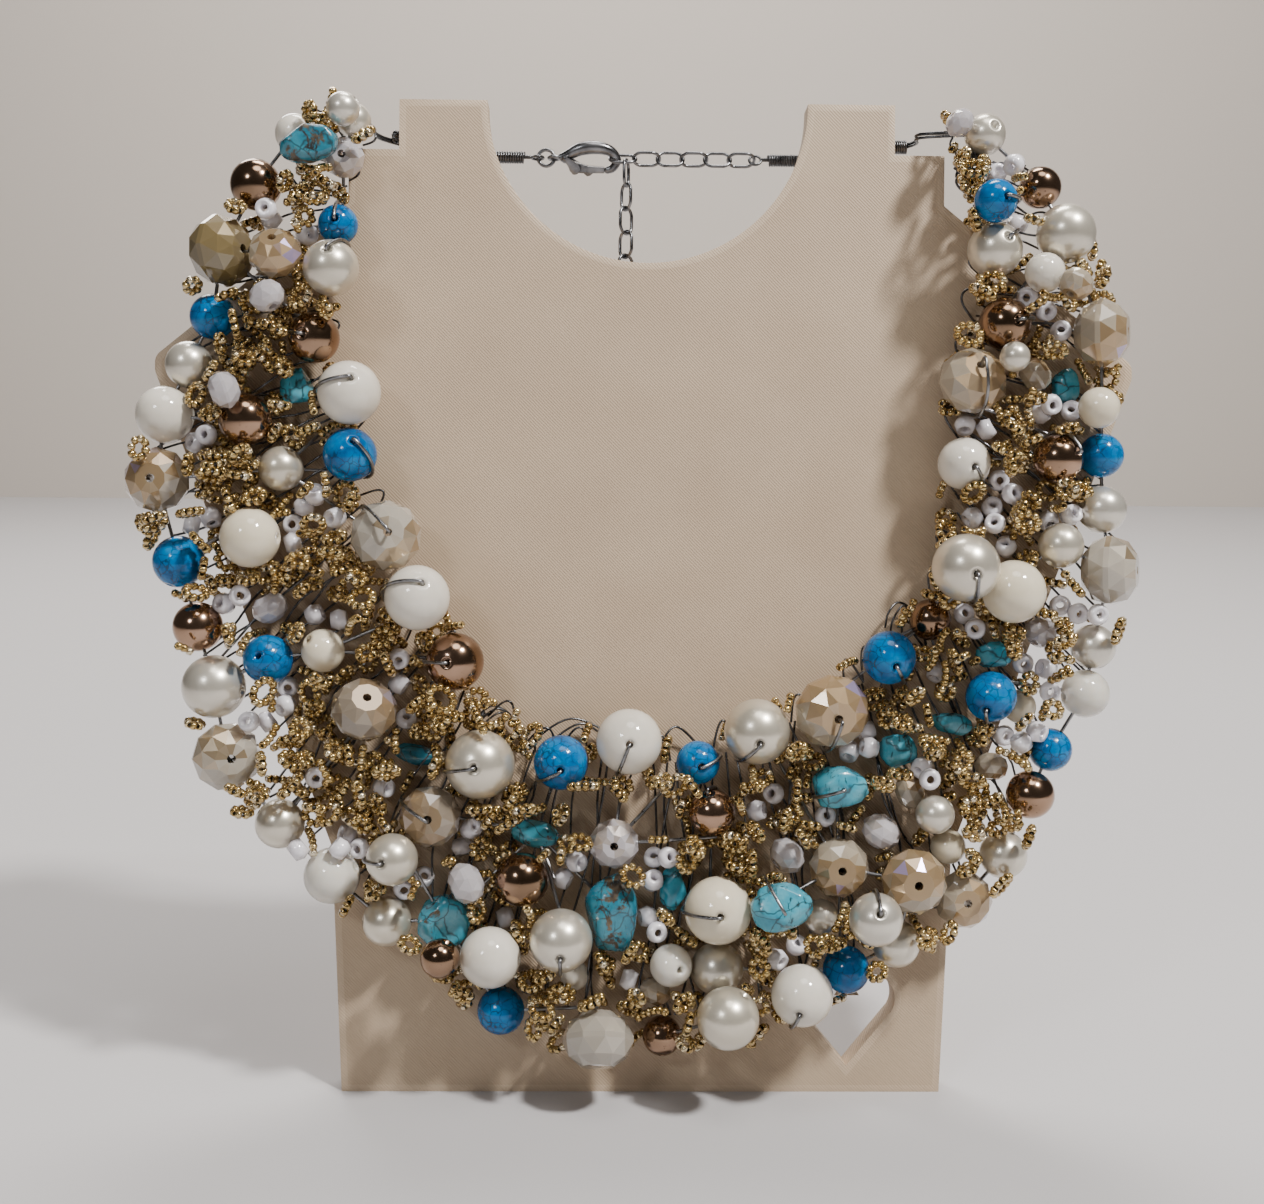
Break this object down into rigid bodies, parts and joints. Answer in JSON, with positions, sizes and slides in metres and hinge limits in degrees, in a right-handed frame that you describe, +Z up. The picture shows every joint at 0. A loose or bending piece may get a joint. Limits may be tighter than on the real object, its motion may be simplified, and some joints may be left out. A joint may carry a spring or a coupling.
{
  "type": "bib necklace on display stand",
  "caption": "Beaded bib necklace with pearls, dyed blue rounds and cut rondelles on a wire net, clasped round a leaning display board.",
  "frame": {"origin": "centre of the board's foot, on the surface that the stand rests on", "axes": "+Z up, -Y towards the viewer, +X to the viewer's right"},
  "size_m": [0.1792, 0.0767, 0.1763],
  "materials": {
    "stand": "printed in fine layers, pale peach",
    "pearl": "coated glass pearl, satin with a soft sheen",
    "ivory": "glossy warm white",
    "cream": "glossy cream",
    "blue": "dyed howlite with dark veins, polished",
    "copper": "rose gold plated, mirror gloss",
    "rondelle": "milky cut glass with a champagne coat",
    "nugget": "turquoise with brown and black matrix",
    "bead_field": "mixed beads on dark wire",
    "gunmetal": "gunmetal plated, smooth"
  },
  "bodies": {
    "necklace_on_stand": {"display_board": "stand", "rear_strut": "stand", "bead_net_left": "bead_field", "bead_net_right": "bead_field", "pearl_01": "pearl", "pearl_02": "pearl", "pearl_03": "pearl", "pearl_04": "pearl", "pearl_05": "pearl", "pearl_06": "pearl", "pearl_07": "pearl", "pearl_08": "pearl", "ivory_01": "ivory", "ivory_02": "ivory", "ivory_03": "ivory", "ivory_04": "ivory", "ivory_05": "ivory", "ivory_06": "ivory", "cream_01": "cream", "cream_02": "cream", "cream_03": "cream", "blue_01": "blue", "blue_02": "blue", "blue_03": "blue", "blue_04": "blue", "blue_05": "blue", "blue_06": "blue", "blue_07": "blue", "copper_01": "copper", "copper_02": "copper", "copper_03": "copper", "copper_04": "copper", "copper_05": "copper", "copper_06": "copper", "copper_07": "copper", "rondelle_01": "rondelle", "rondelle_02": "rondelle", "rondelle_03": "rondelle", "rondelle_04": "rondelle", "rondelle_05": "rondelle", "rondelle_06": "rondelle", "nugget_01": "nugget", "nugget_02": "nugget", "nugget_03": "nugget", "coil_left": "gunmetal", "coil_right": "gunmetal", "jump_ring": "gunmetal", "clasp_body": "gunmetal", "extender_chain": "gunmetal"},
    "lever": {"clasp_lever": "gunmetal"}
  },
  "joints": [
    {"name": "clasp_lever_hinge", "type": "hinge", "parent": "necklace_on_stand", "child": "lever", "pos_m": [-0.01331, 0.02995, 0.16579], "axis": [0, -0.9272, -0.3746], "range_deg": [0, 20], "stiffness_Nm_per_rad": 0.0005}
  ]
}
